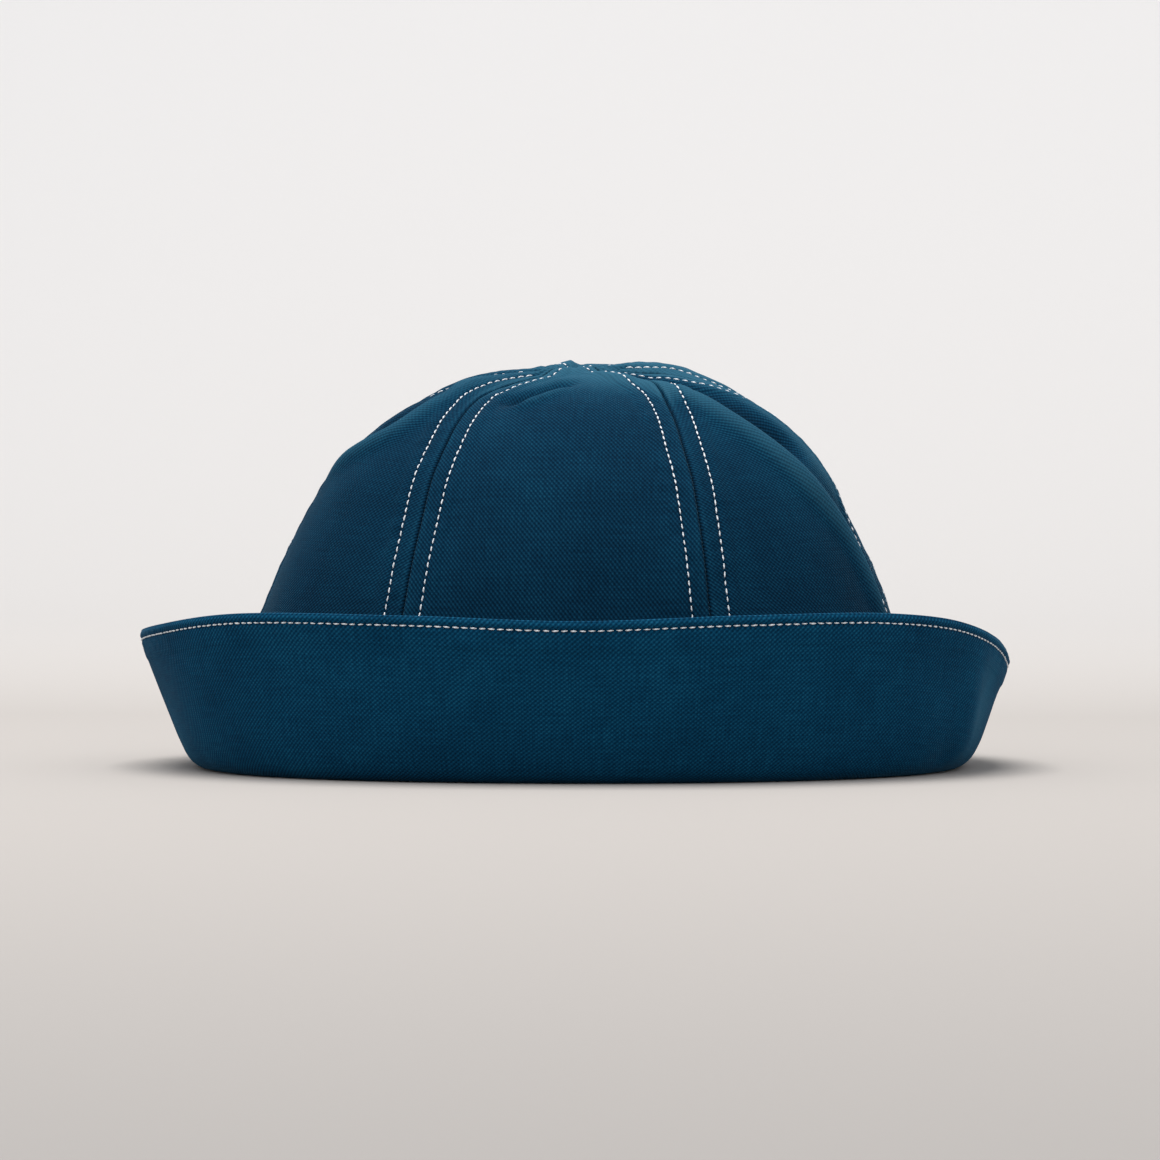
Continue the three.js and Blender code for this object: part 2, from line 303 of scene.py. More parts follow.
# ---- Twill ------------------------------------------------------------------------------------------------
# Navy cotton twill: yarns cross so that they raise a fine diagonal rib, and the cloth is slightly faded and
# napped on its ribs. The weave follows each piece's own flat measure.
class Socket:
    """A value in a material. The usual operators on it add the nodes that work them out."""

    def __init__(self, tree, output):
        self.tree, self.output = tree, output

    def node(self, kind, values=(), out=0, **settings):
        """Adds any node: its settings first, then values or sockets for its inputs, by name or in order."""
        made = self.tree.nodes.new(kind)
        for name, setting in settings.items():
            setattr(made, name, setting)
        pairs = values.items() if isinstance(values, dict) else enumerate(values)
        for name, value in pairs:
            if isinstance(value, Socket):
                self.tree.links.new(value.output, made.inputs[name])
            elif value is not None:
                made.inputs[name].default_value = value
        return Socket(self.tree, made.outputs[out])

    def maths(self, operation, *values):
        return self.node("ShaderNodeMath", values, operation=operation)

    def __add__(self, other):
        return self.maths("ADD", self, other)

    def __sub__(self, other):
        return self.maths("SUBTRACT", self, other)

    def __rsub__(self, other):
        return self.maths("SUBTRACT", other, self)

    def __mul__(self, other):
        return self.maths("MULTIPLY", self, other)

    __radd__, __rmul__ = __add__, __mul__

    def sine(self):
        return self.maths("SINE", self)

    def between(self, low, high):
        """Rises smoothly from 0 at low to 1 at high."""
        return self.node("ShaderNodeMapRange", {"Value": self, "From Min": low, "From Max": high},
                         interpolation_type="SMOOTHSTEP")

    def mix(self, first, second):
        """Goes from one colour to another as this value goes from 0 to 1."""
        return self.node("ShaderNodeMix", {0: self, 6: first, 7: second}, out=2, data_type="RGBA")


TWILL_PITCH = 0.92
TWILL_DARK = (0.0008, 0.0150, 0.034, 1)
TWILL_MID = (0.0014, 0.0385, 0.090, 1)
TWILL_PAINTED_SHEEN = (0.0300, 0.1050, 0.1600, 1)
TWILL_FADED_AND_PAINTED_LIGHT = (0.0085, 0.1060, 0.1900, 1)


def twill_cloth(name, lean, painted_shading, nap_glow):
    """lean is the rib's angle from the cloth's width, in degrees: positive rises to the right. The third
    argument scales the colour, as painted shade: it makes the same twill darker on the crown than on the
    brim. nap_glow is how much the napped surface catches the light from the side."""
    cloth = bpy.data.materials.new(name)
    cloth.use_nodes = True
    tree = cloth.node_tree
    finish = tree.nodes["Principled BSDF"]
    place = Socket(tree, None).node("ShaderNodeUVMap", uv_map="flat_cloth")
    # The hand of a real cloth: its ribs wander a little.
    wander = place.node("ShaderNodeTexNoise", {"Vector": place, "Scale": 90.0, "Detail": 1.0},
                        noise_dimensions="2D")
    split = place.node("ShaderNodeSeparateXYZ", [place])
    along = Socket(tree, split.output.node.outputs[0]) * (1 / MM)
    up = Socket(tree, split.output.node.outputs[1]) * (1 / MM)
    angle = math.radians(lean)
    rib_across = along * math.sin(angle) - up * math.cos(angle) + wander * 0.5
    rib = (rib_across * (2 * math.pi / TWILL_PITCH)).sine() * 0.5 + 0.5
    # The yarns crossing under the ribs break them into dots.
    crossing = along * math.sin(-angle) - up * math.cos(angle) + wander * 0.5
    strand = (crossing * (2 * math.pi / TWILL_PITCH)).sine() * 0.5 + 0.5

    # Yarns are uneven: warp threads run up the cloth and weft threads across it.
    def yarns(across, along_yarn):
        yarn_scale = (across, along_yarn, 1.0)
        stretched = place.node("ShaderNodeVectorMath", [place, yarn_scale], operation="MULTIPLY")
        return place.node("ShaderNodeTexNoise", {"Vector": stretched, "Scale": 1.0, "Detail": 2.0},
                          noise_dimensions="2D")

    warp, weft = yarns(2400.0, 110.0), yarns(90.0, 2000.0)
    fuzz = {"Vector": place, "Scale": 3200.0, "Detail": 3.0, "Roughness": 0.7}
    nap = place.node("ShaderNodeTexNoise", fuzz, noise_dimensions="2D")
    patches = {"Vector": place, "Scale": 38.0, "Detail": 5.0, "Roughness": 0.6}
    wear = place.node("ShaderNodeTexNoise", patches, noise_dimensions="2D")
    relief = rib * 0.68 + strand * 0.32
    tone = relief * 0.66 + warp * 0.36 + weft * 0.34 + nap * 0.46 + wear * 0.34 - 0.56
    # The attribute read here is painted light: it raises the tone on creases, the crown's top and the brim's
    # ends as painted highlight, and lowers it in hollows, seams and stitch rows as painted shade.
    worn = place.node("ShaderNodeAttribute", out=2, attribute_name="worn")
    tone = tone + worn
    # The tone runs from the dark colour through the mid one to the faded one. It is lowered by random dark
    # yarns and by painted shade, and raised by random faded yarns and by painted highlight.
    colour = tone.between(0.0, 0.62).mix(TWILL_DARK, TWILL_MID)
    colour = tone.between(0.50, 1.15).mix(colour, TWILL_FADED_AND_PAINTED_LIGHT)
    # Painted shade: the colour is scaled, darker on the crown's gores than on the brim.
    colour = colour.node("ShaderNodeVectorMath", {0: colour, 3: painted_shading}, operation="SCALE")
    # Painted sheen: where the painted highlight is strong, a paler, greyer colour is mixed in.
    colour = (worn.between(0.08, 0.50) * (nap * 0.6 + 0.35)).mix(colour, TWILL_PAINTED_SHEEN)
    height = relief + warp * 0.35 + weft * 0.25 + nap * 0.35
    bump = place.node("ShaderNodeBump", {"Height": height, "Strength": 0.75, "Distance": 0.16 * MM})
    roughness = 0.98 - relief * 0.12
    tree.links.new(colour.output, finish.inputs["Base Color"])
    tree.links.new(roughness.output, finish.inputs["Roughness"])
    tree.links.new(bump.output, finish.inputs["Normal"])
    finish.inputs["Specular IOR Level"].default_value = 0.04
    finish.inputs["Sheen Weight"].default_value = nap_glow
    finish.inputs["Sheen Roughness"].default_value = 0.22
    finish.inputs["Sheen Tint"].default_value = (0.30, 0.68, 0.95, 1)
    return cloth


# ---- Gores ------------------------------------------------------------------------------------------------
# Each gore is cut with an allowance, which is pressed back under it and topstitched down. Its edge is a soft
# roll that sinks into the seam, and a slightly raised band beside it ends where the allowance does.
CROWN_WALL = 1.4
SEAM_GAP = 0.03
ROW_FROM_SEAM = 5.0
ALLOWANCE = 8.6
STITCH_PITCH = 2.3
GORE_COLUMNS = 100
GORE_ROWS = 150
FRONT_SEAM = 27.0
SIDE_SEAM = 90.0
BACK_SEAM = 180.0 - FRONT_SEAM
SIDE_SEAM_DRAW = 5.0
GORE_TIP_RISE = 0.9965


def noise(points, size, seed):
    """Smooth noise from -1 to 1, made of waves with a fixed seed. size is its usual wavelength."""
    rng = np.random.default_rng(seed)
    waves = unit(rng.normal(size=(36, 3))) * (2 * math.pi / size) * rng.uniform(0.6, 1.7, (36, 1))
    return np.sin(points @ waves.T + rng.uniform(0, 2 * math.pi, 36)).sum(-1) / 36**0.5 / 1.6


def gaussian(distance, width):
    return np.exp(-(distance / width) ** 2)


def smooth_step(low, high, value):
    t = np.clip((value - low) / (high - low), 0, 1)
    return t * t * (3 - 2 * t)


def lengths_along(points, axis):
    """Running length along one axis of a grid of points."""
    steps = np.linalg.norm(np.diff(points, axis=axis), axis=-1)
    start = np.zeros_like(np.take(steps, [0], axis=axis))
    return np.concatenate([start, np.cumsum(steps, axis=axis)], axis=axis)


# The crown's axis stands this far off the middle of the whole cap.
CAP_SHIFT = np.array((0.2, -0.19, 0.0))


def cloth_mesh(name, sheets, material, node, worn=None):
    """One object of closed sheets, each an outer and an inner grid of points with the flat measure of both.
    A sheet that closes on itself joins its last column to its first. The last argument is light painted into
    each point of the first sheet's outer face: painted highlight where it is above nought, painted shade
    below."""
    corners, faces, flats = [], [], []
    left, right = slice(None, -1), slice(1, None)

    def quads(a, b, c, d, *measures):
        faces.append(np.stack([a, b, c, d], -1).reshape(-1, 4))
        flats.append(np.stack(measures, -2).reshape(-1, 4, 2))

    for outer, inner, flat, round_closed in sheets:
        rows, columns = outer.shape[:2]
        first = sum(len(c) for c in corners)
        corners += [outer.reshape(-1, 3), inner.reshape(-1, 3)]
        spot = first + np.arange(2 * rows * columns).reshape(2, rows, columns)
        flat = np.broadcast_to(flat, (2, rows, flat.shape[-2], 2))
        o, i = spot
        fo, fi = flat
        if round_closed:
            o, i = np.column_stack([o, o[:, 0]]), np.column_stack([i, i[:, 0]])
        quads(o[left, left], o[left, right], o[right, right], o[right, left],
              fo[left, left], fo[left, right], fo[right, right], fo[right, left])
        quads(i[left, right], i[left, left], i[right, left], i[right, right],
              fi[left, right], fi[left, left], fi[right, left], fi[right, right])
        quads(o[0, right], o[0, left], i[0, left], i[0, right],
              fo[0, right], fo[0, left], fi[0, left], fi[0, right])
        quads(o[-1, left], o[-1, right], i[-1, right], i[-1, left],
              fo[-1, left], fo[-1, right], fi[-1, right], fi[-1, left])
        if not round_closed:
            quads(o[left, 0], o[right, 0], i[right, 0], i[left, 0],
                  fo[left, 0], fo[right, 0], fi[right, 0], fi[left, 0])
            quads(o[right, -1], o[left, -1], i[left, -1], i[right, -1],
                  fo[right, -1], fo[left, -1], fi[left, -1], fi[right, -1])
    mesh = bpy.data.meshes.new(name)
    mesh.from_pydata((np.concatenate(corners) + CAP_SHIFT) * MM, [], np.concatenate(faces).tolist())
    measure = mesh.uv_layers.new(name="flat_cloth")
    measure.uv.foreach_set("vector", (np.concatenate(flats) * MM).astype(np.float32).ravel())
    # The light painted into each point is kept on the mesh for the cloth's colour.
    painted_light_values = np.zeros(len(mesh.vertices), np.float32)
    if worn is not None:
        painted_light_values[:worn.size] = worn.ravel()
    mesh.attributes.new("worn", "FLOAT", "POINT").data.foreach_set("value", painted_light_values)
    mesh.shade_smooth()
    mesh.set_sharp_from_angle(angle=math.radians(60))
    mesh.materials.append(material)
    piece = bpy.data.objects.new(name, mesh)
    bpy.context.scene.collection.objects.link(piece)
    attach(piece, "root")
    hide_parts(node)


def crown_face(angle, rise, across):
    """The crown's outer face with its puff and folds, but without the fine forms of its seams."""
    plain, out = plain_crown(angle, rise), crown_normal(angle, rise)
    swell = gore_puff(rise).puff * np.sin(math.pi * np.clip(across, 0, 1)) ** 1.2
    soft = 0.35 * noise(plain, 42.0, 3) * smooth_step(0.0, 0.12, rise)
    folded = fold_height(plain, out)
    return plain + out * (swell + soft + folded)[..., None], out, folded


def seam_angle(seam, rise):
    """A seam's angle at a level: it moves away from the middle of the front or back gore it belongs to."""
    middle = 180 * round(seam / 180)
    if abs(seam) == SIDE_SEAM:
        # The side seams draw a little towards the back as they rise.
        return seam + np.sign(seam) * SIDE_SEAM_DRAW * smooth_step(0.3, 0.8, rise)
    return seam + np.sign(seam - middle) * seam_spread(rise).spread


def gore_grid(left, right):
    """The gore's outer face, its outward direction, and each point's distance from the nearer seam."""
    t = np.linspace(0, 1, GORE_COLUMNS + 1)
    t = 0.45 * t + 0.55 * (0.5 - 0.5 * np.cos(math.pi * t))
    rise = GORE_TIP_RISE * np.linspace(0, 1, GORE_ROWS + 1)[:, None] + 0 * t
    reach = np.maximum(crown_level(rise).front, 1e-3)
    inset = np.degrees(np.arcsin(np.clip(SEAM_GAP / 2 / reach, 0, 0.3)))
    left, right = seam_angle(left, rise) + inset, seam_angle(right, rise) - inset
    angle = left + (right - left) * t
    face, out, folded = crown_face(angle, rise, t + 0 * rise)
    along = lengths_along(face, 1)
    from_seam = np.minimum(along, along[:, -1:] - along)
    half = along[:, -1:] / 2
    up = lengths_along(face, 0)[:, [GORE_COLUMNS // 2]]
    return SimpleNamespace(face=face, out=out, from_seam=from_seam, half=half, along=along - half,
                           up=up + 0 * along, rise=rise, folded=folded)


def row_distance(half):
    """How far the topstitching keeps from the seam. It closes in on the seam near the crown's point."""
    narrow = 0.46 * half
    return narrow * ROW_FROM_SEAM / (narrow**4 + ROW_FROM_SEAM**4) ** 0.25


def seam_relief(grid, seed):
    """The fine forms beside a seam, as a height over the plain face."""
    d, half = grid.from_seam, grid.half
    row = row_distance(half)
    reach = np.minimum(ALLOWANCE, 0.86 * half)
    roll = -0.7 * gaussian(d, 0.34)
    band = 0.42 * (1 - smooth_step(reach - 0.9, reach + 0.5, d))
    holes = 0.75 + 0.25 * np.cos(2 * math.pi * grid.up / STITCH_PITCH)
    dimple = -0.34 * gaussian(d - row, 0.62) * holes
    pucker = 0.20 * noise(grid.face, 6.5, seed) * gaussian(d - row, 4.2)
    ripple = 0.07 * noise(grid.face, 2.8, seed + 50) * gaussian(d - row, 2.4)
    return (roll + band + dimple + pucker + ripple) * smooth_step(0.0, 2.5, half)


def painted_light_of(grid):
    """Painted light: the crests of the folds and the crown's top are painted paler as painted highlight, the
    edges beside the seams paler too, and the hollows, the seams and the needle's rows darker as painted
    shade.
    """
    top = 0.32 * smooth_step(0.66, 0.94, grid.rise)
    row = row_distance(grid.half)
    beside = 0.10 * gaussian(grid.from_seam - 1.2, 0.7) - 0.22 * gaussian(grid.from_seam - row, 0.55)
    in_seam = -0.38 * gaussian(grid.from_seam, 0.35)
    return np.clip(grid.folded * 0.13, -0.28, 0.32) + beside + in_seam + top


def beside_seam(grid, surface, i, side, distance):
    """The point of one level of a gore's face at some distances from its left (0) or right (1) seam, and the
    outward direction there."""
    columns = np.arange(grid.from_seam.shape[1])
    middle = columns[-1] // 2
    chosen = columns[: middle + 1] if side == 0 else columns[middle:][::-1]
    at = np.interp(distance, grid.from_seam[i, chosen], np.arange(len(chosen)))
    low = np.minimum(at.astype(int), len(chosen) - 2)
    t = (at - low)[:, None]
    a, b = chosen[low], chosen[low + 1]
    return surface[i, a] * (1 - t) + surface[i, b] * t, unit(grid.out[i, a] * (1 - t) + grid.out[i, b] * t)


def pressed_allowance(grid, inner, side):
    """The allowance pressed back along one seam, inside the gore: a narrow strip with a rounded free edge."""
    levels = [i for i in range(0, GORE_ROWS, 2) if grid.half[i, 0] > 5.5]
    share = np.linspace(0, 1, 9)
    near, far, flat = [], [], []
    for i in levels:
        distance = min(ALLOWANCE, 0.8 * grid.half[i, 0]) * share
        points, out = beside_seam(grid, inner, i, side, distance)
        thick = 0.6 * (1 - 0.7 * share**16)
        near.append(points - out * 0.04)
        far.append(points - out * (0.04 + thick)[:, None])
        flat.append(np.stack([distance, grid.up[i, 0] + 0 * distance], -1))
    grids = [np.array(g)[:, ::-1] if side else np.array(g) for g in (near, far, flat)]
    return (*grids, False)


GORES = {
    "crown_front": (-FRONT_SEAM, FRONT_SEAM, -52.0),
    "crown_front_right": (FRONT_SEAM, SIDE_SEAM, -44.0),
    "crown_back_right": (SIDE_SEAM, BACK_SEAM, 46.0),
    "crown_back": (BACK_SEAM, 360 - BACK_SEAM, -52.0),
    "crown_back_left": (-BACK_SEAM, -SIDE_SEAM, -44.0),
    "crown_front_left": (-SIDE_SEAM, -FRONT_SEAM, 42.0),
}
grids = {}
for number, (name, (left, right, lean)) in enumerate(GORES.items()):
    grid = gore_grid(left, right)
    relief = seam_relief(grid, 20 + number)
    outer = grid.face + grid.out * relief[..., None]
    inner = grid.face - grid.out * CROWN_WALL
    inner[0, :, 2] = outer[0, :, 2]
    flat = np.stack([grid.along, grid.up], -1)
    sheets = [(outer, inner, flat, False)] + [pressed_allowance(grid, inner, side) for side in (0, 1)]
    # The crown's twill is scaled darker than the brim's, as painted shade, and gets its painted light per
    # point.
    cloth_mesh(name, sheets, twill_cloth("twill_" + name, lean, 0.56, 0.14), name,
               worn=painted_light_of(grid))
    grids[name] = SimpleNamespace(outer=outer, inner=inner, out=grid.out, from_seam=grid.from_seam,
                                  half=grid.half)


# ---- The brim's shape -------------------------------------------------------------------------------------
# The brim is sewn to the crown at the head opening, runs down inside its own fold, turns up, and stands out
# from the crown like a wall. Its edge stands highest across the front and lowest at the right side.
OPENING_HALF_WIDTH = 89.8
OPENING_HALF_DEPTH = 81.8
SEAM_HEIGHT = 10.0
brim_section = np.array([
    # out, up, share of the edge's own move, share of the fold's own move
    (0.0, SEAM_HEIGHT, 0.0, 0.0),
    (0.4, 5.4, 0.0, 0.0),
    (2.0, 1.5, 0.0, 0.2),
    (4.6, 0.0, 0.0, 0.5),
    (8.2, 0.0, 0.0, 0.9),
    (11.6, 2.2, 0.0, 1.0),
    (14.2, 7.0, 0.1, 0.95),
    (16.9, 14.0, 0.3, 0.6),
    (20.2, 23.0, 0.6, 0.1),
    (22.6, 30.0, 0.85, 0.0),
    (24.2, 36.0, 1.0, 0.0),
])
brim_round = smooth_table(
    "angle rise reach fold",
    (-180, 32.6, 22.4, 0.0),
    (-135, 32.0, 23.2, 0.0),
    (-106, 32.4, 24.4, 0.0),
    (-90, 34.4, 24.8, 0.0),
    (-66, 38.0, 24.2, 0.2),
    (-46, 41.8, 23.2, 0.4),
    (-20, 42.2, 22.4, 0.0),
    (4, 41.0, 22.0, 0.0),
    (28, 42.3, 22.4, 0.4),
    (48, 42.2, 23.2, 1.4),
    (60, 40.2, 23.8, 2.2),
    (76, 34.6, 24.3, 2.6),
    (90, 28.8, 24.4, 2.4),
    (106, 27.6, 24.0, 1.4),
    (135, 30.4, 23.2, 0.4),
    (180, 32.6, 22.4, 0.0),
)
BRIM_COLUMNS = 720
EDGE_ZONE = 12


def brim_grid(rows_from_edge):
    """The brim's outer face with its direction, at distances from the edge measured down the cloth."""
    angle = np.linspace(-180, 180, BRIM_COLUMNS, endpoint=False)
    here = brim_round(angle)
    usual = brim_section[-1]
    shares = brim_section[:, None, :]
    out = shares[..., 0] + shares[..., 2] * (here.reach - usual[0]) + shares[..., 3] * here.fold
    up = shares[..., 1] + shares[..., 2] * (here.rise - usual[1])
    # A fine smooth line through the section's points, then measured from the edge downwards.
    knots = np.linspace(0, 1, len(brim_section))
    fine = np.linspace(0, 1, 400)
    curve = smooth_curve(knots, np.column_stack([out, up]))(fine)
    line = curve.reshape(len(fine), 2, BRIM_COLUMNS)[::-1]
    length = np.concatenate([np.zeros((1, BRIM_COLUMNS)),
                             np.cumsum(np.linalg.norm(np.diff(line, axis=0), axis=1), 0)])
    section = np.empty((len(rows_from_edge), BRIM_COLUMNS, 2))
    facing = np.empty_like(section)
    for j in range(BRIM_COLUMNS):
        total = length[-1, j]
        # Near the edge the rows keep their own distance; below, they share out the rest of the cloth.
        share = (total - EDGE_ZONE) / (rows_from_edge[-1] - EDGE_ZONE)
        shared = EDGE_ZONE + (rows_from_edge - EDGE_ZONE) * share
        at = np.where(rows_from_edge < EDGE_ZONE, rows_from_edge, shared)
        for axis in range(2):
            section[:, j, axis] = np.interp(at, length[:, j], line[:, axis, j])
            slope = np.gradient(line[:, axis, j], length[:, j])
            facing[:, j, axis] = np.interp(at, length[:, j], slope)
    x, y = oval(angle, OPENING_HALF_WIDTH, OPENING_HALF_DEPTH)
    ahead = np.stack(oval(angle + 0.5, OPENING_HALF_WIDTH, OPENING_HALF_DEPTH), -1)
    behind = np.stack(oval(angle - 0.5, OPENING_HALF_WIDTH, OPENING_HALF_DEPTH), -1)
    run = unit(ahead - behind)
    outward = np.stack([run[:, 1], -run[:, 0]], -1)
    face = np.empty((len(rows_from_edge), BRIM_COLUMNS, 3))
    face[..., :2] = np.stack([x, y], -1) + outward * section[..., :1]
    face[..., 2] = section[..., 1]
    # facing holds the way down the cloth, so turning it a quarter gives the way out of its face.
    normal = np.empty_like(face)
    normal[..., :2] = outward * -facing[..., 1:]
    normal[..., 2] = facing[..., 0]
    return face, unit(normal), angle


# ---- Brim, outer layer ------------------------------------------------------------------------------------
# The layer that shows: twill turned in along the edge and topstitched a little below it, so the edge is a
# soft roll, and the cloth is thicker down to where the turned-in allowance ends.
BRIM_WALL = 1.2
EDGE_ROW = 2.3
EDGE_ALLOWANCE = 7.5


def brim_surface(face, normal, angle, d, seed):
    """The fine forms of the outer face, as a height over the plain face. d is the distance from the edge."""
    roll = -0.62 * gaussian(d, 0.6)
    band = 0.22 * (1 - smooth_step(EDGE_ALLOWANCE - 0.6, EDGE_ALLOWANCE + 0.6, d))
    row = -0.30 * gaussian(d - EDGE_ROW, 0.6)
    pucker = 0.16 * noise(face, 6.0, seed) * gaussian(d - EDGE_ROW, 3.4)
    soft = 0.45 * noise(face, 46.0, seed + 1) * smooth_step(0.0, 8.0, d)
    # A soft upright fold near the right end, and the crease at that end's foot.
    turn = angle[None, :]
    fold_line = 1.5 * gaussian(turn - 71.0, 4.5) * gaussian(d - 24.0, 16.0)
    crease = -0.9 * gaussian(turn - 66.0 + (d - 38.0) * 0.5, 3.0) * gaussian(d - 40.0, 5.5)
    return roll + band + row + pucker + soft + fold_line + crease


edge_rows = [0, 0.25, 0.5, 0.8, 1.15, 1.5, 1.8, 2.05, 2.3, 2.55, 2.8, 3.15, 3.6, 4.2]
edge_rows += [5, 5.8, 6.5, 7.0, 7.5, 8.0, 8.6]
outer_rows = np.array(edge_rows + list(np.linspace(9.8, 66, 30)))
face, normal, brim_angle = brim_grid(outer_rows)
below_edge = outer_rows[:, None] + 0 * brim_angle
relief = brim_surface(face, normal, brim_angle, below_edge, 60)
# The sewn end, at the head opening, and the part that stands on the floor keep to the plain shape.
relief = relief * smooth_step(0.5, 6.0, face[..., 2])
brim_outer_face = face + normal * relief[..., None]
brim_outer_face[..., 2] = np.maximum(brim_outer_face[..., 2], 0.0)
brim_inner_face = face - normal * BRIM_WALL
round_the_brim = lengths_along(face[:1], 1)[0]
round_the_brim = np.append(round_the_brim, round_the_brim[-1] + np.linalg.norm(face[0, 0] - face[0, -1]))
brim_flat = np.stack([np.broadcast_to(round_the_brim, (len(outer_rows), BRIM_COLUMNS + 1)),
                      -np.broadcast_to(outer_rows[:, None], (len(outer_rows), BRIM_COLUMNS + 1))], -1)
# Painted light on the brim: the lip at the edge is painted paler, as painted highlight, and the row of
# stitching below it darker, as painted shade.
brim_painted_light = 0.07 * gaussian(below_edge - 0.5, 0.9) - 0.26 * gaussian(below_edge - EDGE_ROW, 0.5)
# The right end and the left corner, which stand out furthest, are painted paler too, as painted highlight.
brim_painted_light = brim_painted_light + 0.26 * gaussian(brim_angle - 78.0, 8.0) * gaussian(below_edge - 20.0, 20.0)
brim_painted_light = brim_painted_light + 0.22 * gaussian(brim_angle + 76.0, 8.0) * gaussian(below_edge - 38.0, 12.0)
# The brim's twill keeps a paler scale than the crown's, whose twill is darkened as painted shade.
brim_twill = twill_cloth("brim_cloth", 42.0, 1.06, 0.12)
cloth_mesh("brim_outer", [(brim_outer_face, brim_inner_face, brim_flat, True)], brim_twill,
           "brim_outer", worn=brim_painted_light)


# ---- Brim, facing -----------------------------------------------------------------------------------------
# The second layer lies inside the first, towards the crown. Its turned edge stands a hair lower, so that it
# doesn't show from the front.
FACING_GAP = 0.3
facing_edge_rows = [0.35, 0.7, 1.1, 1.6, 2.0, 2.3, 2.7, 3.2, 4.0, 5.2, 6.4, 7.2, 8.0]
facing_rows = np.array(facing_edge_rows + list(np.linspace(10, 66, 22)))
face, normal, _ = brim_grid(facing_rows)
below_edge = facing_rows[:, None] + 0 * brim_angle
near = face - normal * (BRIM_WALL + FACING_GAP)
relief = -0.45 * gaussian(below_edge, 0.7) - 0.25 * gaussian(below_edge - EDGE_ROW, 0.6)
relief = relief + 0.14 * noise(face, 6.0, 71) * gaussian(below_edge - EDGE_ROW, 3.4)
far = near - normal * (BRIM_WALL + relief)[..., None]
facing_flat = np.stack([np.broadcast_to(round_the_brim, (len(facing_rows), BRIM_COLUMNS + 1)),
                        -np.broadcast_to(facing_rows[:, None], (len(facing_rows), BRIM_COLUMNS + 1))], -1)
cloth_mesh("brim_facing", [(near, far, facing_flat, True)], brim_twill, "brim_facing")


# ---- Topstitching -----------------------------------------------------------------------------------------
# White cotton thread, about 0.4 mm thick: a row of lockstitches 5 mm to each side of every seam of the crown,
# the same rows inside it, and a row round the brim just below its edge, on both of its faces.
THREAD_WIDTH = 0.42
STITCH_LENGTH = 1.8
THREAD_SHADED = (0.46, 0.50, 0.53, 1)
THREAD_CLEAN = (0.86, 0.88, 0.90, 1)


def thread():
    made = bpy.data.materials.new("white_thread")
    made.use_nodes = True
    tree = made.node_tree
    finish = tree.nodes["Principled BSDF"]
    ply = Socket(tree, None).node("ShaderNodeUVMap", uv_map="ply")
    split = ply.node("ShaderNodeSeparateXYZ", [ply])
    around, along = split, Socket(tree, split.output.node.outputs[1])
    strands = (around * (4 * math.pi) + along * 16.0).sine() * 0.5 + 0.5
    place = ply.node("ShaderNodeTexCoord", out=3)
    dirt = place.node("ShaderNodeTexNoise", {"Vector": place, "Scale": 420.0, "Detail": 2.0})
    colour = (strands * 0.6 + dirt * 0.6).between(0.1, 0.9).mix(THREAD_SHADED, THREAD_CLEAN)
    bump = place.node("ShaderNodeBump", {"Height": strands, "Strength": 0.6, "Distance": 0.12 * MM})
    tree.links.new(colour.output, finish.inputs["Base Color"])
    tree.links.new(bump.output, finish.inputs["Normal"])
    finish.inputs["Roughness"].default_value = 0.7
    finish.inputs["Specular IOR Level"].default_value = 0.3
    return made


